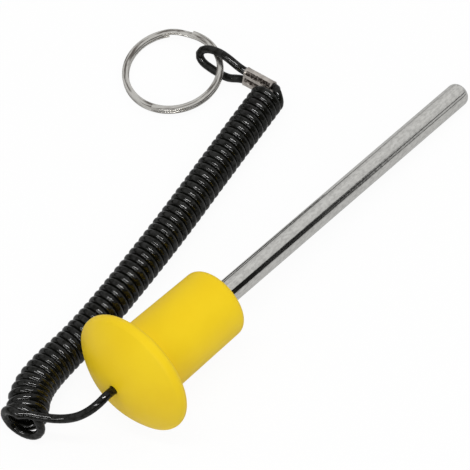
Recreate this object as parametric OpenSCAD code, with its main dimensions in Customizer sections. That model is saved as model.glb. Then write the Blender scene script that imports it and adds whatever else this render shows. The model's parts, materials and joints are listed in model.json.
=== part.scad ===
// Weight stack selector pin: a steel rod in a moulded mushroom knob, with a coiled
// lanyard cord that ends in a crimped loop and a split ring.
// Millimetres, +Z up. The pin lies on its head's rim and its tip, pointing along +X.
// The origin is on the surface it lies on, under the middle of the knob and rod.

/* [Knob] */
// Diameter of the mushroom head
head_d = 42; // [36:0.5:52]
// Radius of the head's rounded rim
rim_r = 2.5; // [1.5:0.1:3.5]
// Height of the dome above the middle of the rim
dome_h = 9.1; // [6:0.1:13]
// How far the head's back rises from its rim to the neck
back_rise = 1.2; // [0.4:0.1:2.5]
// Diameter of the stem at the head
stem_neck_d = 24.8; // [20:0.2:30]
// Diameter of the stem at its end
stem_end_d = 24; // [19:0.2:29]
// Length from the middle of the rim to the end of the stem
stem_l = 38.8; // [30:0.2:55]
// Fillet between the head's back and the stem
neck_fillet_r = 2; // [0.8:0.1:3]
// Rounding of the stem's end
stem_edge_r = 2.5; // [1:0.1:4]

/* [Rod] */
// Diameter of the rod
rod_d = 8; // [6:0.1:10]
// Length of rod that stands out of the knob
rod_free_l = 121.5; // [80:0.5:160]
// Rounding of the rod's tip
rod_tip_r = 2.5; // [1:0.1:2.8]
// Chamfer on the rod's inner end
rod_inner_chamfer = 0.8; // [0.2:0.1:1.5]
// Width of the relief groove on the rod just inside the bore's mouth
rod_groove_w = 1.6; // [1:0.1:3]
// Depth of the relief groove
rod_groove_h = 0.4; // [0.2:0.05:0.7]

/* [Cord] */
// Diameter of the cord
cord_d = 2.8; // [2.4:0.1:3]
// Radial room round the cord in its hole
cord_room = 0.2; // [0.1:0.05:0.5]
// Length of the crimped stop inside the knob
stop_l = 6; // [4:0.5:8]
// Radial room round the stop in the bore
stop_room = 0.2; // [0.1:0.05:0.5]
// Thickness of the dome's wall in front of the stop
stop_wall = 6; // [4:0.5:8]
// Gap between the stop and the rod's inner end
stop_gap = 0.4; // [0.2:0.1:1]

/* [Ferrule] */
// Length of the ferrule
ferrule_l = 11.4; // [9:0.2:12]
// Wall of the ferrule round each strand
ferrule_wall = 0.4; // [0.3:0.05:0.6]
// Distance between the two strands in the ferrule
ferrule_pitch = 3.2; // [3.1:0.05:3.4]
// How far the seam between the ferrule's barrels is pressed in
crimp_h = 0.25; // [0.1:0.05:0.3]
// Radius of the punch marks on that seam
punch_r = 0.9; // [0.6:0.05:1]
// Depth of the punch marks
punch_h = 0.5; // [0.2:0.05:0.55]
// Distance between the two punch marks on a side
punch_pitch = 4.6; // [3:0.2:6]

/* [Split ring] */
// Outer diameter of the ring
ring_d = 34; // [30:0.5:36]
// Width of the flat wire, across the ring
wire_w = 2.2; // [1.6:0.1:2.4]
// Thickness of the flat wire
wire_t = 1.05; // [0.7:0.05:1.1]
// Gap between the two turns
turn_gap = 0.1; // [0.05:0.05:0.3]
// Edge chamfer of the wire
wire_edge = 0.25; // [0.1:0.05:0.3]
// Angle over which the wire steps from one turn to the other
jog_angle = 30; // [20:2:60]

/* [Hidden] */
$fn = 96;

// Rest of the pin: the rim and the tip both touch the surface
head_r = head_d / 2;
rod_r = rod_d / 2;
tip_x = stem_l + rod_free_l;
rise = (head_r - rim_r) - (rod_r - rod_tip_r);
run = tip_x - rod_tip_r;
lie_angle = asin((rim_r - rod_tip_r) / norm([run, rise])) + atan2(rise, run);
rim_z = (head_r - rim_r) * cos(lie_angle) + rim_r;

// Dome: one circle about [dome_c, 0] that runs into the rim's rounding
dome_r = (dome_h * dome_h - rim_r * rim_r + pow(head_r - rim_r, 2)) / (2 * (dome_h - rim_r));
dome_c = dome_r - dome_h;
dome_half_angle = atan2(head_r - rim_r, dome_c);
back_slope = atan2(back_rise, head_r - rim_r - stem_neck_d / 2);

// Middle of the knob and rod along X, which the origin is under
near_x = dome_c * cos(lie_angle) - dome_r;
far_x = run * cos(lie_angle) + (rod_r - rod_tip_r) * sin(lie_angle) + rod_tip_r;
rim_x = -(near_x + far_x) / 2;

// Bore, cord hole, stop and rod, as places along the pin's axis from the rim's middle
shoulder_x = -dome_h + stop_wall;
rod_inner_x = shoulder_x + stop_l + stop_gap;
cord_hole_d = cord_d + 2 * cord_room;
stop_d = rod_d - 2 * stop_room;
past = 1;

// Ferrule: the middle of it, then its roll, dip and heading in degrees
ferrule_at = [41.2, 51.4, 5.4];
ferrule_turn = [20, 7, 93];
barrel_r = cord_d / 2 + ferrule_wall;
seam_x = barrel_r - crimp_h;

// Ring: where its wire passes the loop's eye, and the heading from there to its centre
eye_at = [38.9, 66.8, 4.7];
ring_heading = 137;
wire_mid_r = ring_d / 2 - wire_w / 2;
ring_h = 2 * wire_t + turn_gap;
ring_reach = wire_mid_r + ring_d / 2;
ring_dip = asin(eye_at[2] / norm([ring_reach, ring_h / 2])) - atan2(ring_h / 2, ring_reach);
turn_pitch = wire_t + turn_gap;
jog_from = 30;
ring_step = 6;

// Cord
cord_r = cord_d / 2;
cord_sides = 8;
coil_sides = 20;

// The coil lies on the surface: X and Y of its middle line and its outer radius there
coil_path = [
    [-105.7, 19.1, 6.9], [-101.6, 21.3, 6.9], [-97.2, 23.7, 6.8], [-92.3, 25.7, 6.6],
    [-86.3, 26.7, 6.4], [-80, 27.1, 6.2], [-72, 27.5, 6], [-60, 28.5, 6], [-40, 31.2, 6],
    [-20, 34.4, 6], [0, 38.1, 6], [20, 41.8, 6], [38.3, 45.1, 6]
];

// The tail, from the stop along the pin's axis, out of the dome and down to the coil's top
tail_path = [
    on_axis(shoulder_x + stop_l - past), on_axis(shoulder_x - past), on_axis(-dome_h - 3.4),
    [-90.1, 0.3, 21.6], [-93.2, 1.8, 19.5], [-95.9, 4.3, 16.9], [-98.1, 7.6, 14.6],
    [-99.9, 11, 13.1], [-101.5, 14.6, 12.5], [-103, 17.9, 12.4], [-104.3, 20.2, 12.4]
];

// The loop, from under the coil's end over its top, through the ferrule, over the ring's
// wire, round, under the wire and back into the ferrule
loop_path = [
    [38.2, 47.6, 2.2], [38.4, 45, 1.5], [38.5, 42.4, 2.3], [38.8, 40.9, 4.4], [39.1, 40.7, 6.7],
    [39.7, 41.8, 8.6], [40.8, 43.6, 8.9], in_ferrule(-0.5, 0.5), in_ferrule(0.5, 0.5),
    [40.7, 60.6, 7.3], [40.5, 63.4, 8.1], [40.4, 66.8, 8.4], [40.1, 69.8, 8.1],
    [39.7, 72.8, 6.9], [39, 74.8, 5.3], [38.4, 75.4, 3.8], [37.9, 74.9, 2.4],
    [37.5, 73, 1.5], [37.4, 70.2, 1.45], [37.6, 66.8, 1.45], [38.3, 62.4, 1.6],
    in_ferrule(0.5, -0.5), in_ferrule(-0.4, -0.5)
];

// A point on the pin's axis, at a distance along it from the rim's middle
function on_axis(x) = [rim_x + x * cos(lie_angle), 0, rim_z - x * sin(lie_angle)];

// A vector turned about X, Y and Z in that order, as rotate() turns a solid
function turn_x(v, a) = [v[0], v[1] * cos(a) - v[2] * sin(a), v[1] * sin(a) + v[2] * cos(a)];
function turn_y(v, a) = [v[0] * cos(a) + v[2] * sin(a), v[1], -v[0] * sin(a) + v[2] * cos(a)];
function turn_z(v, a) = [v[0] * cos(a) - v[1] * sin(a), v[0] * sin(a) + v[1] * cos(a), v[2]];
function turned(v, a) = turn_z(turn_y(turn_x(v, a[0]), a[1]), a[2]);

// A point in the ferrule, as shares of its length and of the distance between its strands
function in_ferrule(along, up) =
    ferrule_at + turned([along * ferrule_l, 0, up * ferrule_pitch], ferrule_turn);

// Points of an arc about a centre, from one angle to another; skip = 1 leaves out the first
function arc(centre, r, from, to, steps, skip = 0) =
    [for (i = [skip : steps]) let (a = from + (to - from) * i / steps)
        centre + r * [cos(a), sin(a)]];

function unit(v) = v / norm(v);
function last(list) = len(list) - 1;

// Direction of a path at one of its points
function heading(path, i) =
    unit(path[min(i + 1, last(path))] - path[max(i - 1, 0)]);

// A ring of points round a path's point, with one corner straight below its middle
function ring_of_points(path, i, r, sides) =
    let (t = heading(path, i),
         side = unit(cross([0, 0, 1], t)),
         up = cross(t, side))
    [for (k = [0 : sides - 1]) let (a = 360 * k / sides)
        path[i] + r * (sin(a) * side - cos(a) * up)];

// A ring that stands upright on the surface, for the thick coil
function coil_ring(i) =
    let (spine = [for (p = coil_path) [p[0], p[1], p[2]]],
         t = heading([for (p = coil_path) [p[0], p[1], 0]], i),
         side = unit(cross([0, 0, 1], t)))
    [for (k = [0 : coil_sides - 1]) let (a = 360 * k / coil_sides)
        spine[i] + spine[i][2] * (sin(a) * side - cos(a) * [0, 0, 1])];

// A closed solid through rings of points that all have the same count
module skin(rings) {
    n = len(rings[0]);
    count = len(rings);
    sides = [for (i = [0 : count - 2], k = [0 : n - 1])
        let (a = i * n + k, b = i * n + (k + 1) % n)
        each [[a, b + n, b], [a, a + n, b + n]]];
    polyhedron(
        points = [for (r = rings) each r],
        faces = concat(sides, [[for (k = [0 : n - 1]) k]],
                       [[for (k = [n - 1 : -1 : 0]) (count - 1) * n + k]]));
}

module cord(path) {
    skin([for (i = [0 : last(path)]) ring_of_points(path, i, cord_r, cord_sides)]);
}

// Places a solid that was made along +X from the rim's middle where the pin lies
module lay_pin() {
    translate([rim_x, 0, rim_z]) rotate([0, lie_angle, 0]) children();
}

// Turns an outline of [radius, place along the axis] round the pin's axis
module turn_along_x(outline) {
    rotate([0, 90, 0]) rotate_extrude() polygon(outline);
}

function knob_outline() =
    let (rim_c = [head_r - rim_r, 0],
         neck_r = stem_neck_d / 2,
         back = rim_c + rim_r * [sin(back_slope), cos(back_slope)],
         draft = atan2((stem_neck_d - stem_end_d) / 2, stem_l),
         fillet_c = [neck_r + neck_fillet_r,
                     back[1] + (back[0] - neck_r - neck_fillet_r) * tan(back_slope)
                     + neck_fillet_r / cos(back_slope)],
         edge_c = [stem_end_d / 2 - stem_edge_r, stem_l - stem_edge_r])
    concat(
        arc([0, dome_c], dome_r, -90, dome_half_angle - 90, 16),
        arc(rim_c, rim_r, dome_half_angle - 90, 90 - back_slope, 10, skip = 1),
        arc(fillet_c, neck_fillet_r, 270 - back_slope, 180, 6),
        arc(edge_c, stem_edge_r, draft, 90, 8),
        [[0, stem_l]]);

module knob() {
    color("gold") lay_pin() difference() {
        turn_along_x(knob_outline());
        translate([shoulder_x, 0, 0]) rotate([0, 90, 0]) cylinder(h = stem_l, r = rod_r);
        translate([-dome_h - past, 0, 0]) rotate([0, 90, 0])
            cylinder(h = dome_h + 2 * past + abs(shoulder_x), d = cord_hole_d);
    }
}

function rod_outline() =
    let (groove_x = stem_l - rod_groove_w, floor_r = rod_r - rod_groove_h)
    concat(
        [[0, rod_inner_x], [rod_r - rod_inner_chamfer, rod_inner_x],
         [rod_r, rod_inner_x + rod_inner_chamfer], [rod_r, groove_x],
         [floor_r, groove_x], [floor_r, stem_l], [rod_r, stem_l]],
        arc([rod_r - rod_tip_r, tip_x - rod_tip_r], rod_tip_r, 0, 90, 8),
        [[0, tip_x]]);

module pin_rod() {
    color("silver") lay_pin() turn_along_x(rod_outline());
}

module cord_stop() {
    color("darkgray") lay_pin() translate([shoulder_x, 0, 0]) rotate([0, 90, 0])
        difference() {
            cylinder(h = stop_l, d = stop_d);
            translate([0, 0, -past]) cylinder(h = stop_l + 2 * past, d = cord_d);
        }
}

module cord_tail() {
    color("black") cord(tail_path);
}

module cord_coil() {
    color("black") skin([for (i = [0 : last(coil_path)]) coil_ring(i)]);
}

module cord_loop() {
    color("black") cord(loop_path);
}

module ferrule_blank() {
    for (side = [-0.5, 0.5]) translate([0, side * ferrule_pitch]) circle(r = barrel_r);
    square([2 * seam_x, ferrule_pitch], center = true);
}

module ferrule() {
    color("silver") translate(ferrule_at) rotate(ferrule_turn) rotate([0, 90, 0])
        rotate([0, 0, 90]) difference() {
            linear_extrude(ferrule_l, center = true) ferrule_blank();
            for (side = [-0.5, 0.5]) translate([0, side * ferrule_pitch, 0])
                cylinder(h = ferrule_l + 2 * past, r = cord_r, center = true);
            for (face = [-1, 1], end = [-0.5, 0.5])
                translate([face * (seam_x - punch_h + punch_r), 0, end * punch_pitch])
                    sphere(r = punch_r);
        }
}

// Flat wire's section at an angle round the ring, with its corners cut off
function wire_ring(angle, z) =
    let (w = wire_w / 2, t = wire_t / 2, e = wire_edge)
    [for (p = [[-w + e, -t], [-w, -t + e], [-w, t - e], [-w + e, t],
               [w - e, t], [w, t - e], [w, -t + e], [w - e, -t]])
        [(wire_mid_r + p[0]) * cos(angle), (wire_mid_r + p[0]) * sin(angle), z + p[1]]];

// Height of the wire's middle: the upper turn, the step, then the lower turn
function wire_z(angle) =
    let (s = max(0, min(1, (angle - 360 - jog_from) / jog_angle)))
    turn_pitch * (0.5 - s * s * (3 - 2 * s));

module split_ring() {
    wire_from = jog_from + jog_angle;
    wire_to = 720 + jog_from;
    color("lightgray") translate(eye_at) rotate([0, 0, ring_heading]) rotate([0, ring_dip, 0])
        translate([wire_mid_r, 0, 0]) rotate([0, 0, 180])
        skin([for (a = [wire_from : ring_step : wire_to]) wire_ring(a, wire_z(a))]);
}

knob();
pin_rod();
cord_stop();
cord_tail();
cord_coil();
cord_loop();
ferrule();
split_ring();
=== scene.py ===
"""Looks of a weight stack selector pin that lies on a white table.

A moulded yellow knob on a plated steel rod, a black coiled lanyard cord, a crimped
ferrule and a split ring. Metres, in the CAD model's frame: the pin lies along +X from the
knob to the tip, and the cord lies at +Y.
"""
import json
import math

import bpy
from mathutils import Matrix, Vector


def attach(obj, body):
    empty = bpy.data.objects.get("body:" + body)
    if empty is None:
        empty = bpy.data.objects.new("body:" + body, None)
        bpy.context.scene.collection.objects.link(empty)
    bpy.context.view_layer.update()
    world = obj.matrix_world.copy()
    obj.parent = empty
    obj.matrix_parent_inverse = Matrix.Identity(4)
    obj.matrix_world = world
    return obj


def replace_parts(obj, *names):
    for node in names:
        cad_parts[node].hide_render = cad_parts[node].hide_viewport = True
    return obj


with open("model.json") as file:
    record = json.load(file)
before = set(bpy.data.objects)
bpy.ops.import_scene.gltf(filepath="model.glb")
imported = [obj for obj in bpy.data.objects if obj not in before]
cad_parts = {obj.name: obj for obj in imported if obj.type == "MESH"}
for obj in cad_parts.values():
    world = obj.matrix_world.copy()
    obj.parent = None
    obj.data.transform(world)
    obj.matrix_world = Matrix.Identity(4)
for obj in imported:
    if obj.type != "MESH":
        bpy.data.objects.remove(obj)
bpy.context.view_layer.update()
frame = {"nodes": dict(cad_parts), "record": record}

# Camera, fitted to the photograph
CAMERA_AT = (-0.4010, -0.3309, 0.7888)
CAMERA_AIM = (-0.0066, 0.0197, 0.0)
LENS_MM = 225.8
SENSOR_MM = 36.0

# Light on surfaces from the whole room, and what metal mirrors of the room, as (turn over
# the top, level): one dark band in the knob's half of the rod, two thin lines in the tip's
ROOM_LIGHT = 0.52
NEAR_ROOM = ((0.0, 0.06), (0.05, 0.08), (0.09, 0.46), (0.40, 0.57), (0.66, 0.50), (0.71, 0.45),
             (0.725, 0.01), (0.95, 0.01), (0.965, 0.36), (1.0, 0.40))
FAR_ROOM = ((0.0, 0.30), (0.09, 0.50), (0.40, 0.57), (0.66, 0.52), (0.785, 0.47), (0.80, 0.02),
            (0.825, 0.02), (0.84, 0.44), (0.925, 0.46), (0.94, 0.06), (0.96, 0.06), (0.975, 0.40),
            (1.0, 0.42))
# How far a mirrored direction leans along the rod where its tip's half begins and is full
TIP_BEGINS = 0.528
TIP_FULL = 0.568
# How white the table is to the camera and in metal, and how much metal dims it
TABLE_SEEN = 0.94
TABLE_MIRRORED = 0.9
TABLE_DIMMED = 0.58
TABLE_SIZE = 6
# Lamps, as (place, aim, watts, width, height). The first two lists light all pieces, and
# metal mirrors only the first; the last gives the cord its streaks and lights nothing
MIRRORED_LAMPS = [((-0.91, -0.48, 0.63), (-0.02, 0.034, 0), 1.9, 0.6, 0.05)]
SOFT_LAMPS = [
    ((-0.175, -0.055, 1.19), (-0.02, 0.034, 0), 5, 0.85, 0.06),
    ((-0.5, 0.5, 1.1), (0, 0, 0), 1.0, 0.5, 0.5),
    ((0.8, -0.4, 0.9), (0, 0, 0), 2.5, 0.5, 0.5),
]
CORD_LAMPS = [
    ((-0.20, -0.045, 1.19), (-0.02, 0.034, 0), 11, 0.85, 0.09),
    ((-0.86, 0.14, 0.64), (-0.09, 0.01, 0.01), 2.0, 0.45, 0.12),
]

# Cord: its diameter and number of turns
CORD_D = 0.0028
CORD_R = CORD_D / 2
TURNS = 54.5
# The turns sit closer at the tail's end, by this share, over this length
CLOSER = 0.13
CLOSER_OVER = 0.050
# How far the turns lean off square to the middle line at the tail's end, and over what
# length
LEAN = math.radians(13)
LEAN_OVER = 0.040
# The tail pulls the last turn open the other way: its turn, its extra width as a share, its
# bulge, and the turns where that begins to fade and over which it does
OPEN_TURN = math.radians(-13)
OPEN_WIDER = 0.12
OPEN_BULGE = 0.0003
OPEN_UNTIL = 0.7
OPEN_FADE = 1.5
STEPS_A_TURN = 24
# Places on the pin's axis, from the middle of the dome's rim towards the tip
STOP_FROM_RIM = 0.0019
DOME_FROM_RIM = -0.0091
OUT_FROM_RIM = -0.0125
MOUNT_FROM_RIM = 0.1
# Points of the tail, from the dome to the coil
TAIL = [
    (-0.0901, 0.0003, 0.0213), (-0.0932, 0.0018, 0.0188), (-0.0959, 0.0043, 0.0161),
    (-0.0982, 0.0076, 0.0140), (-0.1005, 0.0112, 0.0131), (-0.1027, 0.0148, 0.0131),
    (-0.1043, 0.0172, 0.0135),
]
# Middle line of the coil on the table, each with its outer radius
COIL = [
    (-0.1062, 0.0190, 0.0069), (-0.1037, 0.0195, 0.0069), (-0.1008, 0.0212, 0.0069),
    (-0.0972, 0.0237, 0.0068),
    (-0.0923, 0.0257, 0.0066), (-0.0863, 0.0267, 0.0064), (-0.0800, 0.0271, 0.0062),
    (-0.0720, 0.0275, 0.0060), (-0.0600, 0.0285, 0.0060), (-0.0400, 0.0312, 0.0060),
    (-0.0200, 0.0344, 0.0060), (0.0000, 0.0381, 0.0060), (0.0200, 0.0418, 0.0060),
    (0.0383, 0.0451, 0.0060),
]
# Points of the loop, from the coil to the ferrule and from there round the ring
LOOP_START = [
    (0.0385, 0.0424, 0.0023), (0.0388, 0.0409, 0.0044), (0.0391, 0.0407, 0.0067),
    (0.0397, 0.0418, 0.0086), (0.0408, 0.0436, 0.0089),
]
LOOP_EYE = [
    (0.0407, 0.0606, 0.0073), (0.0405, 0.0634, 0.0081), (0.0404, 0.0668, 0.0084),
    (0.0401, 0.0698, 0.0081), (0.0397, 0.0728, 0.0069), (0.0390, 0.0748, 0.0053),
    (0.0384, 0.0754, 0.0038), (0.0379, 0.0749, 0.0024), (0.0375, 0.0730, 0.0015),
    (0.0374, 0.0702, 0.00145), (0.0376, 0.0668, 0.00145), (0.0383, 0.0624, 0.0016),
]

# How far into the ferrule the cord's end lies, as a share of the ferrule's length
CORD_END_AT = -0.4
CORD_SIDES = 4

# Ferrule: its middle, its roll, dip and heading, and its sizes
FERRULE_AT = Vector((0.0412, 0.0514, 0.0054))
FERRULE_TURN = [math.radians(a) for a in (20, 7, 93)]
FERRULE_L = 0.0114
FERRULE_PITCH = 0.0032
FERRULE_WALL = 0.0004
BARREL_R = CORD_R + FERRULE_WALL
BARREL_SIDES = 40
SEAM_SHARE = 0.94
FLARE_SHARE = 1.03
FERRULE_EDGE = 0.00012
FERRULE_EDGE_ANGLE = math.radians(50)
# Rings of points along it, as shares of its length; the grooves end at the inner ones
FERRULE_CUTS = (-0.45, -0.42, 0, 0.42, 0.45)
# Two pressed grooves across the barrels, from where to where, their slope and what is left
# of the thickness; then how the painted shade in them spreads and frays, and where it ends
GROOVES = ((-0.0030, -0.0015), (-0.0004, 0.0010))
GROOVE_SLOPE = 0.0002
GROOVE_SHARE = 0.78
PAINTED_SHADE_SPREAD = 0.0004
PAINTED_SHADE_FRAY = 0.0008
PAINTED_SHADE_END = 0.435

# Split ring: its wire's sizes, where it passes the loop's eye, and its step
RING_D = 0.034
WIRE_W = 0.0022
WIRE_T = 0.00105
WIRE_EDGE = 0.00042
WIRE_EDGE_STEPS = 4
TURN_GAP = 0.0001
TURN_PITCH = WIRE_T + TURN_GAP
WIRE_MID_R = RING_D / 2 - WIRE_W / 2
EYE_AT = Vector((0.0389, 0.0668, 0.0047))
RING_HEADING = math.radians(137)
WIRE_START = math.radians(60)
JOG_ANGLE = math.radians(30)
JOG_STEPS = 12
TURN_STEPS = 132
# Streaks in the wire's plating to a metre across it, and to a radian round the ring
STREAKS_ACROSS = 1500
STREAKS_ROUND = 2.5

# Faces that meet at less than this are shaded as one; points nearer than these are one
SMOOTH_ANGLE = math.radians(40)
TINY = 0.00001
SAME_POINT = 0.000005


def material(slot, name):
    """A new material and its main shader, with the record's colour for that slot."""
    made = bpy.data.materials.new(name)
    made.use_nodes = True
    shader = made.node_tree.nodes["Principled BSDF"]
    colour = next(m["base_color"] for m in frame["record"]["materials"] if m["slot"] == slot)
    shader.inputs["Base Color"].default_value = (*colour, 1)
    return made, shader


def noise(made, scale, detail, stretch=(1, 1, 1), turn=(0, 0, 0)):
    """A noise on Object coordinates; stretch thins it along an axis, turn turns it first."""
    nodes, links = made.node_tree.nodes, made.node_tree.links
    place = nodes.new("ShaderNodeTexCoord")
    lay = nodes.new("ShaderNodeMapping")
    lay.inputs["Rotation"].default_value = turn
    lay.inputs["Scale"].default_value = stretch
    grain = nodes.new("ShaderNodeTexNoise")
    grain.inputs["Scale"].default_value = scale
    grain.inputs["Detail"].default_value = detail
    links.new(place.outputs["Object"], lay.inputs["Vector"])
    links.new(lay.outputs["Vector"], grain.inputs["Vector"])
    return grain.outputs["Fac"]


def ramp(made, value, stops):
    """Turns a value into a grey or a colour, at (place, colour) stops."""
    nodes, links = made.node_tree.nodes, made.node_tree.links
    made_ramp = nodes.new("ShaderNodeValToRGB")
    elements = made_ramp.color_ramp.elements
    for element, (place, colour) in zip(elements, stops):
        element.position = place
        element.color = (*colour, 1)
    links.new(value, made_ramp.inputs["Fac"])
    return made_ramp.outputs["Color"]


def bump(made, shader, value, height, strength):
    """Gives a shader small bumps of a height in metres."""
    nodes, links = made.node_tree.nodes, made.node_tree.links
    rise = nodes.new("ShaderNodeBump")
    rise.inputs["Distance"].default_value = height
    rise.inputs["Strength"].default_value = strength
    links.new(value, rise.inputs["Height"])
    links.new(rise.outputs["Normal"], shader.inputs["Normal"])


def calc(made, operation, *values):
    """A sum on values that are each a number or another node's output."""
    node = made.node_tree.nodes.new("ShaderNodeMath")
    node.operation = operation
    for given, socket in zip(values, node.inputs):
        if isinstance(given, (int, float)):
            socket.default_value = given
        else:
            made.node_tree.links.new(given, socket)
    return node.outputs[0]


def blend(made, kind, share, first, second):
    """The first of two colours or shaders where the share is 0, the second where it is 1."""
    links = made.node_tree.links
    node = made.node_tree.nodes.new(kind)
    for given, socket in zip((share, first, second), node.inputs):
        links.new(given, socket)
    return node.outputs[0]


def own_axes(made, place):
    """X, Y and Z in a piece's own place, from before it was laid on the table."""
    nodes, links = made.node_tree.nodes, made.node_tree.links
    corner = nodes.new("ShaderNodeTexCoord")
    own = nodes.new("ShaderNodeMapping")
    own.vector_type = "TEXTURE"
    own.inputs["Location"].default_value = place.translation
    own.inputs["Rotation"].default_value = place.to_euler()
    links.new(corner.outputs["Object"], own.inputs["Vector"])
    parts = nodes.new("ShaderNodeSeparateXYZ")
    links.new(own.outputs["Vector"], parts.inputs[0])
    return parts.outputs


def grey(level):
    """A grey as a colour."""
    return (level, level, level)


def moulded_yellow():
    """Satin yellow plastic, a little uneven in tint and shine."""
    made, shader = material("knob_plastic", "moulded yellow plastic")
    links = made.node_tree.links
    tint = ramp(made, noise(made, 55, 4),
                [(0.3, (0.82, 0.560, 0.006)), (0.75, (0.87, 0.620, 0.010))])
    links.new(tint, shader.inputs["Base Color"])
    gloss = ramp(made, noise(made, 180, 3), [(0.3, grey(0.40)), (0.7, grey(0.50))])
    links.new(gloss, shader.inputs["Roughness"])
    shader.inputs["Specular IOR Level"].default_value = 0.25
    bump(made, shader, noise(made, 1400, 3), 0.00004, 0.35)
    return made


def drawn_steel(turn):
    """Plated steel, its grain drawn out along the rod."""
    made, shader = material("rod_steel", "plated drawn steel")
    links = made.node_tree.links
    shader.inputs["Metallic"].default_value = 1
    tint = ramp(made, noise(made, 1300, 4, (0.5, 1, 1), turn),
                [(0.34, (0.76, 0.75, 0.72)), (0.6, (0.98, 0.97, 0.93))])
    links.new(tint, shader.inputs["Base Color"])
    gloss = ramp(made, noise(made, 240, 5, (0.3, 1, 1), turn),
                 [(0.3, grey(0.05)), (0.7, grey(0.11))])
    links.new(gloss, shader.inputs["Roughness"])
    bump(made, shader, noise(made, 1600, 3, (0.5, 1, 1), turn), 0.00003, 0.35)
    return made


def crimped_aluminium():
    """Dull metal of the stop inside the knob."""
    made, shader = material("stop_metal", "crimped aluminium")
    shader.inputs["Metallic"].default_value = 1
    shader.inputs["Roughness"].default_value = 0.4
    bump(made, shader, noise(made, 700, 3), 0.00005, 0.3)
    return made


def glossy_black_cord():
    """Black plastic with an uneven shine."""
    made, shader = material("cord_plastic", "glossy black cord")
    links = made.node_tree.links
    gloss = ramp(made, noise(made, 160, 4), [(0.3, grey(0.05)), (0.7, grey(0.12))])
    links.new(gloss, shader.inputs["Roughness"])
    shader.inputs["Base Color"].default_value = (0.005, 0.005, 0.004, 1)
    shine = ramp(made, noise(made, 700, 4), [(0.36, grey(0.14)), (0.6, grey(0.52))])
    links.new(shine, shader.inputs["Specular IOR Level"])
    bump(made, shader, noise(made, 900, 3), 0.00004, 0.12)
    return made


def tinned_ferrule(place):
    """Tinned metal, with shade painted into the colour of the two pressed grooves."""
    made, shader = material("ferrule_metal", "tinned ferrule metal")
    links = made.node_tree.links
    shader.inputs["Metallic"].default_value = 1
    own = own_axes(made, place)
    frayed = calc(made, "MULTIPLY", noise(made, 900, 3), PAINTED_SHADE_FRAY)
    # pressed marks the two grooves, where shade is painted into the colour
    pressed = 0
    for start, end in GROOVES:
        off = calc(made, "ABSOLUTE", calc(made, "SUBTRACT", own["X"], (start + end) / 2))
        inside = calc(made, "LESS_THAN", calc(made, "ADD", off, frayed),
                      (end - start) / 2 + PAINTED_SHADE_SPREAD)
        pressed = calc(made, "MAXIMUM", inside, pressed)
    along = calc(made, "ABSOLUTE", own["Z"])
    pressed = calc(made, "MULTIPLY", calc(made, "LESS_THAN", along, PAINTED_SHADE_END * FERRULE_L),
                   pressed)
    plain = ramp(made, noise(made, 420, 5),
                 [(0.3, (0.52, 0.48, 0.44)), (0.65, (0.86, 0.80, 0.74))])
    # Painted shade for the grooves, nearly black, which takes the place of the plain metal there
    dark = ramp(made, noise(made, 1500, 3),
                [(0.45, (0.045, 0.035, 0.03)), (0.7, (0.45, 0.40, 0.36))])
    tint = blend(made, "ShaderNodeMixRGB", pressed, plain, dark)
    links.new(tint, shader.inputs["Base Color"])
    gloss = ramp(made, noise(made, 600, 4), [(0.3, grey(0.28)), (0.7, grey(0.5))])
    links.new(gloss, shader.inputs["Roughness"])
    bump(made, shader, noise(made, 1100, 4), 0.00012, 0.5)
    return made


def bright_nickel(place):
    """Nickel over drawn wire: streaks that run round the ring, in the ring's own place."""
    made, shader = material("ring_metal", "bright nickel plate")
    nodes, links = made.node_tree.nodes, made.node_tree.links
    shader.inputs["Metallic"].default_value = 1
    own = own_axes(made, place)
    across = calc(made, "POWER", calc(made, "ADD", calc(made, "POWER", own["X"], 2),
                                      calc(made, "POWER", own["Y"], 2)), 0.5)
    drawn = nodes.new("ShaderNodeCombineXYZ")
    links.new(calc(made, "MULTIPLY", across, STREAKS_ACROSS), drawn.inputs["X"])
    links.new(calc(made, "MULTIPLY", own["Z"], STREAKS_ACROSS), drawn.inputs["Y"])
    links.new(calc(made, "MULTIPLY", calc(made, "ARCTAN2", own["Y"], own["X"]), STREAKS_ROUND),
              drawn.inputs["Z"])
    streaks = nodes.new("ShaderNodeTexNoise")
    streaks.inputs["Scale"].default_value = 1
    streaks.inputs["Detail"].default_value = 3
    links.new(drawn.outputs[0], streaks.inputs["Vector"])
    tint = ramp(made, streaks.outputs["Fac"],
                [(0.36, (0.22, 0.20, 0.18)), (0.52, (0.90, 0.88, 0.83))])
    links.new(tint, shader.inputs["Base Color"])
    gloss = ramp(made, noise(made, 320, 4), [(0.3, grey(0.22)), (0.7, grey(0.34))])
    links.new(gloss, shader.inputs["Roughness"])
    bump(made, shader, streaks.outputs["Fac"], 0.00012, 0.4)
    return made


def dress(piece, made):
    """Gives a piece its one material."""
    piece.data.materials.clear()
    piece.data.materials.append(made)


def through(points, step):
    """A smooth line through the points, with about the given step between its own."""
    line = []
    last = len(points) - 1
    for i in range(last):
        before, a, b, after = (points[max(i - 1, 0)], points[i], points[i + 1],
                               points[min(i + 2, last)])
        count = max(1, round((b - a).length / step))
        for k in range(count):
            t = k / count
            line.append(0.5 * (2 * a + (b - before) * t
                               + (2 * before - 5 * a + 4 * b - after) * t ** 2
                               + (3 * (a - b) + after - before) * t ** 3))
    return line + [points[last]]


def pin_axis():
    """The rim's middle and the direction of the pin's axis, from the rod's mount."""
    mount = next(m for m in frame["record"]["mounts"] if m["name"] == "selector_pin")
    along = Vector(mount["axis"]).normalized()
    return Vector(mount["pos_m"]) - MOUNT_FROM_RIM * along, along


def in_ferrule(share, up):
    """A point in the ferrule, as shares of its length and of its strands' distance."""
    point = Vector((share * FERRULE_L, 0, up * FERRULE_PITCH))
    for axis, angle in zip("XYZ", FERRULE_TURN):
        point.rotate(Matrix.Rotation(angle, 3, axis))
    return FERRULE_AT + point


def fade(share):
    """1 up to a share of 0, then falling smoothly to 0 at a share of 1."""
    left = 1 - min(max(share, 0), 1)
    return left * left * (3 - 2 * left)


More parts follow.
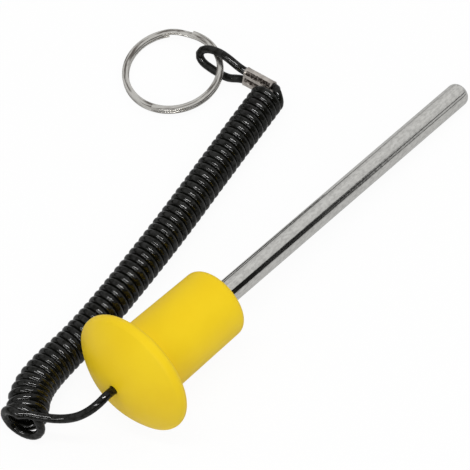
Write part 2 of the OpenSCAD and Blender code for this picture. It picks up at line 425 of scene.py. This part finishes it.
def coil_turns():
    """The coil's turns, wound round its middle line from the tail's end to the loop's."""
    middle = through([Vector(p) for p in COIL], CORD_R / 4)
    places, wound = [0.0], [0.0]
    for a, b in zip(middle, middle[1:]):
        step = (b - a).xy.length
        places.append(places[-1] + step)
        wound.append(wound[-1] + step * (1 + CLOSER * fade(places[-1] / CLOSER_OVER)))
    count = round(TURNS * STEPS_A_TURN)
    turns, k = [], 0
    for i in range(count + 1):
        sought = wound[-1] * i / count
        while k < len(middle) - 2 and wound[k + 1] < sought:
            k += 1
        share = (sought - wound[k]) / (wound[k + 1] - wound[k])
        point = middle[k].lerp(middle[k + 1], share)
        ahead = (middle[k + 1] - middle[k]).xy.normalized()
        opened = fade((i / STEPS_A_TURN - OPEN_UNTIL) / OPEN_FADE)
        turned = LEAN * fade(places[k] / LEAN_OVER) + OPEN_TURN * opened
        side = Vector((-ahead.y, ahead.x, 0))
        side.rotate(Matrix.Rotation(turned, 3, "Z"))
        angle = 2 * math.pi * i / STEPS_A_TURN
        reach = (point.z - CORD_R) * (1 + OPEN_WIDER * opened)
        point.z = reach + CORD_R
        point -= OPEN_BULGE * opened * (1 - math.cos(angle)) / 2 * Vector((*ahead, 0))
        outwards = math.sin(angle) * side + math.cos(angle) * Vector((0, 0, 1))
        turns.append(point + reach * outwards)
    return turns


def add_cord(made):
    """The whole cord as one tube: from the stop out of the dome, the coil and the loop."""
    rim, along = pin_axis()
    tail = [rim + STOP_FROM_RIM * along, rim + DOME_FROM_RIM * along, rim + OUT_FROM_RIM * along]
    tail += [Vector(p) for p in TAIL]
    turns = coil_turns()
    loop = [Vector(p) for p in LOOP_START] + [in_ferrule(-0.5, 0.5), in_ferrule(0.5, 0.5)]
    loop += [Vector(p) for p in LOOP_EYE] + [in_ferrule(0.5, -0.5)]
    loop.append(in_ferrule(CORD_END_AT, -0.5))
    route = through(tail + turns[:1], CORD_R)[:-1] + turns
    route += through(turns[-1:] + loop, CORD_R)[1:]

    bpy.ops.curve.primitive_nurbs_path_add()
    cord = bpy.context.object
    cord.name = "lanyard_cord"
    line = cord.data
    line.splines.clear()
    spline = line.splines.new("POLY")
    spline.points.add(len(route) - 1)
    for point, place in zip(spline.points, route):
        point.co = (*place, 1)
    line.bevel_depth = CORD_R
    line.bevel_resolution = CORD_SIDES
    line.use_fill_caps = True
    dress(cord, made)
    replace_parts(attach(cord, "pin"), "cord_tail", "cord_coil", "cord_loop")
    return cord


def pick(piece, wanted):
    """In edit mode, selects the vertices whose places the test takes, and nothing else."""
    bpy.ops.object.mode_set(mode="OBJECT")
    for vertex in piece.data.vertices:
        vertex.select = wanted(vertex.co)
    for edge in piece.data.edges:
        edge.select = all(piece.data.vertices[v].select for v in edge.vertices)
    for face in piece.data.polygons:
        face.select = all(piece.data.vertices[v].select for v in face.vertices)
    bpy.ops.object.mode_set(mode="EDIT")


def close_up(piece, place):
    """Joins doubles, turns the faces outwards, puts the piece in its place and shades it."""
    bpy.ops.mesh.select_all(action="SELECT")
    bpy.ops.mesh.remove_doubles(threshold=SAME_POINT)
    bpy.ops.mesh.normals_make_consistent(inside=False)
    bpy.ops.object.mode_set(mode="OBJECT")
    piece.matrix_world = place
    bpy.ops.object.transform_apply(location=True, rotation=True, scale=True)
    bpy.ops.object.shade_smooth_by_angle(angle=SMOOTH_ANGLE)


def ring_place():
    """Where the ring's own middle and axes lie."""
    reach, half_height = WIRE_MID_R + RING_D / 2, TURN_PITCH / 2 + WIRE_T / 2
    dip = (math.asin(EYE_AT.z / math.hypot(reach, half_height))
           - math.atan2(half_height, reach))
    return (Matrix.Translation(EYE_AT) @ Matrix.Rotation(RING_HEADING, 4, "Z")
            @ Matrix.Rotation(dip, 4, "Y") @ Matrix.Translation((WIRE_MID_R, 0, 0))
            @ Matrix.Rotation(math.pi + WIRE_START, 4, "Z"))


def add_ring():
    """The split ring: a flat wire spun for one turn, stepped down, and spun for another."""
    bpy.ops.object.select_all(action="DESELECT")
    bpy.ops.mesh.primitive_plane_add(size=1)
    ring = bpy.context.object
    ring.name = "split_ring_wire"
    bpy.ops.object.mode_set(mode="EDIT")
    bpy.ops.transform.resize(value=(WIRE_W, WIRE_T, 1))
    bpy.ops.mesh.bevel(offset=WIRE_EDGE, segments=WIRE_EDGE_STEPS, affect="VERTICES")
    bpy.ops.transform.rotate(value=math.pi / 2, orient_axis="X", center_override=(0, 0, 0))
    bpy.ops.transform.translate(value=(WIRE_MID_R, 0, TURN_PITCH / 2))
    spin = {"center": (0, 0, 0), "axis": (0, 0, 1)}
    turn = {"steps": TURN_STEPS, "angle": 2 * math.pi - JOG_ANGLE, **spin}
    bpy.ops.mesh.spin(**turn)
    dropped = 0
    for step in range(1, JOG_STEPS + 1):
        drop = TURN_PITCH * fade(1 - step / JOG_STEPS)
        bpy.ops.mesh.spin(steps=1, angle=JOG_ANGLE / JOG_STEPS, **spin)
        bpy.ops.transform.translate(value=(0, 0, dropped - drop))
        dropped = drop
    bpy.ops.mesh.spin(**turn)
    close_up(ring, ring_place())
    dress(ring, bright_nickel(ring_place()))
    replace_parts(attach(ring, "ring"), "split_ring")
    return ring


def ferrule_place():
    """Where the ferrule's own middle and axes lie, its length along its own Z."""
    place = Matrix.Translation(FERRULE_AT)
    for axis, angle in zip("ZYX", reversed(FERRULE_TURN)):
        place = place @ Matrix.Rotation(angle, 4, axis)
    return place @ Matrix.Rotation(math.pi / 2, 4, "Y")


def add_ferrule():
    """The ferrule: a round bar drawn apart into two barrels, with two pressed grooves."""
    bpy.ops.object.select_all(action="DESELECT")
    bpy.ops.mesh.primitive_cylinder_add(vertices=BARREL_SIDES, radius=BARREL_R,
                                        depth=FERRULE_L)
    ferrule = bpy.context.object
    ferrule.name = "crimped_ferrule"
    bpy.ops.object.mode_set(mode="EDIT")
    for way in (1, -1):
        pick(ferrule, lambda at: at.x * way > TINY)
        bpy.ops.transform.translate(value=(way * FERRULE_PITCH / 2, 0, 0))
    pick(ferrule, lambda at: abs(at.x) <= TINY)
    bpy.ops.transform.resize(value=(1, SEAM_SHARE, 1), center_override=(0, 0, 0))
    for cut in FERRULE_CUTS:
        bpy.ops.mesh.select_all(action="SELECT")
        bpy.ops.mesh.bisect(plane_co=(0, 0, cut * FERRULE_L), plane_no=(0, 0, 1))
    for start, end in GROOVES:
        for cut in (start, start + GROOVE_SLOPE, end - GROOVE_SLOPE, end):
            bpy.ops.mesh.select_all(action="SELECT")
            bpy.ops.mesh.bisect(plane_co=(cut, 0, 0), plane_no=(1, 0, 0))
        pick(ferrule, lambda at: start + TINY < at.x < end - TINY
             and abs(at.z) < FERRULE_CUTS[-2] * FERRULE_L + TINY)
        bpy.ops.transform.resize(value=(1, GROOVE_SHARE, 1), center_override=(0, 0, 0))
    for way in (1, -1):
        pick(ferrule, lambda at: at.z * way > FERRULE_L / 2 - TINY)
        bpy.ops.transform.resize(value=(FLARE_SHARE, FLARE_SHARE, 1),
                                 center_override=(0, 0, 0))
    bpy.ops.object.mode_set(mode="OBJECT")
    soft = ferrule.modifiers.new("softened edges", "BEVEL")
    soft.width = FERRULE_EDGE
    soft.segments = 2
    soft.angle_limit = FERRULE_EDGE_ANGLE
    bpy.ops.object.modifier_apply(modifier=soft.name)
    bpy.ops.object.mode_set(mode="EDIT")
    close_up(ferrule, ferrule_place())
    dress(ferrule, tinned_ferrule(ferrule_place()))
    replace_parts(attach(ferrule, "pin"), "ferrule")
    return ferrule


def facing(place, aim):
    """The turn of a camera or lamp at a place that looks at its aim."""
    return (Vector(aim) - Vector(place)).to_track_quat("-Z", "Y").to_euler()


def add_camera():
    """The camera that sees what the photograph shows."""
    bpy.ops.object.camera_add(location=CAMERA_AT)
    camera = bpy.context.object
    camera.rotation_euler = facing(CAMERA_AT, CAMERA_AIM)
    camera.data.sensor_width = SENSOR_MM
    camera.data.lens = LENS_MM
    bpy.context.scene.camera = camera


def add_lamp(place, aim, watts, width, height):
    """A flat lamp at a place, turned to its aim."""
    bpy.ops.object.light_add(type="AREA", location=place)
    lamp = bpy.context.object
    lamp.data.shape = "RECTANGLE"
    lamp.data.size = width
    lamp.data.size_y = height
    lamp.data.energy = watts
    lamp.rotation_euler = facing(place, aim)
    return lamp


def add_lamps(cord):
    """All lamps; the cord's own light no other piece and show only as streaks."""
    for row in MIRRORED_LAMPS:
        add_lamp(*row)
    for row in SOFT_LAMPS:
        add_lamp(*row).visible_glossy = False
    streaked = bpy.data.collections.new("pieces that show the cord's lamps")
    streaked.objects.link(cord)
    for row in CORD_LAMPS:
        lamp = add_lamp(*row)
        lamp.visible_diffuse = False
        lamp.light_linking.receiver_collection = streaked


def add_table():
    """White to the eye and in metal, and otherwise a plain surface that takes the shadow."""
    bpy.ops.mesh.primitive_plane_add(size=TABLE_SIZE)
    table = bpy.context.object
    table.name = "white_table"
    made = bpy.data.materials.new("white table")
    made.use_nodes = True
    nodes, links = made.node_tree.nodes, made.node_tree.links
    shader = nodes["Principled BSDF"]
    shader.inputs["Base Color"].default_value = (*grey(0.86), 1)
    shader.inputs["Roughness"].default_value = 0.9
    shader.inputs["Specular IOR Level"].default_value = 0
    glow = nodes.new("ShaderNodeEmission")
    glow.inputs["Color"].default_value = (*grey(1), 1)
    path = nodes.new("ShaderNodeLightPath")
    mirrored = path.outputs["Is Glossy Ray"]
    seen = calc(made, "MULTIPLY", path.outputs["Is Camera Ray"], TABLE_SEEN)
    share = calc(made, "MULTIPLY_ADD", mirrored, TABLE_MIRRORED, seen)
    links.new(calc(made, "MULTIPLY_ADD", mirrored, -TABLE_DIMMED, 1), glow.inputs["Strength"])
    both = blend(made, "ShaderNodeMixShader", share, shader.outputs[0], glow.outputs[0])
    links.new(both, nodes["Material Output"].inputs["Surface"])
    dress(table, made)


def room_band(world, turned, levels):
    """How bright the room is, from one side over the top to the other."""
    band = world.node_tree.nodes.new("ShaderNodeValToRGB")
    stops = band.color_ramp.elements
    for stop, (at, level) in zip(stops, (levels[0], levels[-1])):
        stop.position, stop.color = at, (*grey(level), 1)
    for at, level in levels[1:-1]:
        stops.new(at).color = (*grey(level), 1)
    world.node_tree.links.new(turned, band.inputs["Fac"])
    return band.outputs["Color"]


def plain_light(world, strength):
    """A white light of one strength from all sides."""
    light = world.node_tree.nodes.new("ShaderNodeBackground")
    light.inputs["Color"].default_value = (*grey(1), 1)
    light.inputs["Strength"].default_value = strength
    return light.outputs[0]


def add_world():
    """White to the eye, an even light on surfaces, and bands of light and dark in metal."""
    world = bpy.data.worlds.new("soft room")
    world.use_nodes = True
    nodes, links = world.node_tree.nodes, world.node_tree.links
    way = nodes.new("ShaderNodeTexCoord").outputs["Generated"]
    parts = nodes.new("ShaderNodeSeparateXYZ")
    links.new(way, parts.inputs[0])
    over = calc(world, "ARCTAN2", parts.outputs["Z"], parts.outputs["Y"])
    turned = calc(world, "DIVIDE", over, math.pi)
    lean = nodes.new("ShaderNodeVectorMath")
    lean.operation = "DOT_PRODUCT"
    lean.inputs[1].default_value = pin_axis()[1]
    links.new(way, lean.inputs[0])
    towards_tip = nodes.new("ShaderNodeMapRange")
    towards_tip.interpolation_type = "SMOOTHSTEP"
    towards_tip.inputs["From Min"].default_value = TIP_BEGINS
    towards_tip.inputs["From Max"].default_value = TIP_FULL
    links.new(lean.outputs["Value"], towards_tip.inputs["Value"])
    shown = nodes["Background"]
    links.new(blend(world, "ShaderNodeMixRGB", towards_tip.outputs["Result"],
                    room_band(world, turned, NEAR_ROOM), room_band(world, turned, FAR_ROOM)),
              shown.inputs["Color"])
    path = nodes.new("ShaderNodeLightPath")
    unseen = blend(world, "ShaderNodeMixShader", path.outputs["Is Glossy Ray"],
                   plain_light(world, ROOM_LIGHT), shown.outputs[0])
    whole = blend(world, "ShaderNodeMixShader", path.outputs["Is Camera Ray"],
                  unseen, plain_light(world, 1))
    links.new(whole, nodes["World Output"].inputs["Surface"])
    bpy.context.scene.world = world


bpy.ops.object.select_all(action="DESELECT")
bpy.context.scene.view_settings.view_transform = "Standard"
add_camera()
ferrule = add_ferrule()
ring = add_ring()
cord = add_cord(glossy_black_cord())
pin_along = pin_axis()[1]
rod_turn = (0, math.atan2(pin_along.z, pin_along.x), 0)
dress(frame["nodes"]["knob"], moulded_yellow())
dress(frame["nodes"]["pin_rod"], drawn_steel(rod_turn))
dress(frame["nodes"]["cord_stop"], crimped_aluminium())
add_table()
add_world()
add_lamps(cord)
